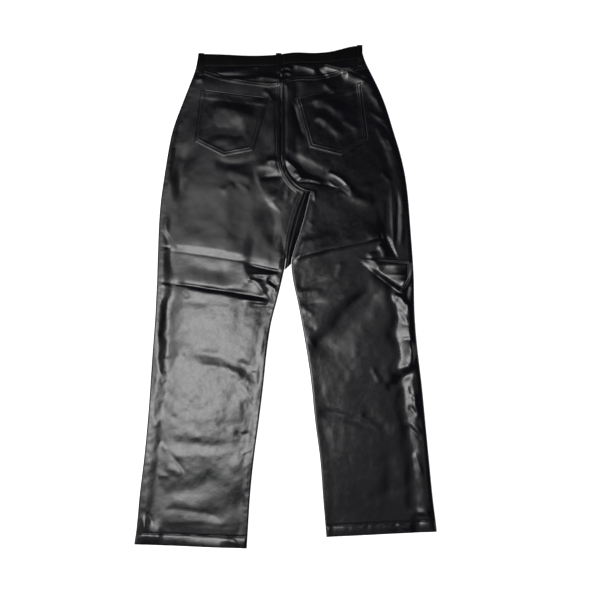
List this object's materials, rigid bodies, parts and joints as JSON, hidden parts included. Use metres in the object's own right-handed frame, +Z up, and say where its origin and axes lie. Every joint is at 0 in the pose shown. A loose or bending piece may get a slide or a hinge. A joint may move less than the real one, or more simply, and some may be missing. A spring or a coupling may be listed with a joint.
{
  "type": "faux leather trousers",
  "caption": "Black faux leather straight-leg trousers with back yokes, patch pockets and belt loops, lying flat on their front.",
  "frame": {"origin": "centre of the bottom of the box, on the surface that the trousers lie on", "axes": "+Y from the hems to the waist, +Z up out of the back of the trousers, +X to the wearer's right"},
  "size_m": [0.62, 1.029, 0.0128],
  "materials": {
    "black_faux_leather": "smooth semi-gloss black, creased",
    "waistband_faux_leather": "smooth semi-gloss black, doubled and topstitched",
    "button_metal": "dark brushed metal"
  },
  "bodies": {
    "root": {"back_pocket_left": "black_faux_leather", "back_pocket_right": "black_faux_leather", "belt_loop_centre": "waistband_faux_leather", "belt_loop_front_left": "waistband_faux_leather", "belt_loop_front_right": "waistband_faux_leather", "belt_loop_left": "waistband_faux_leather", "belt_loop_right": "waistband_faux_leather", "inseam_strip_left": "black_faux_leather", "leg_back_left": "black_faux_leather", "leg_back_right": "black_faux_leather", "leg_front_left": "black_faux_leather", "leg_front_right": "black_faux_leather", "waist_button": "button_metal", "waistband_back": "waistband_faux_leather", "waistband_front_left": "waistband_faux_leather", "waistband_front_right": "waistband_faux_leather", "yoke_left": "black_faux_leather", "yoke_right": "black_faux_leather"}
  },
  "joints": []
}
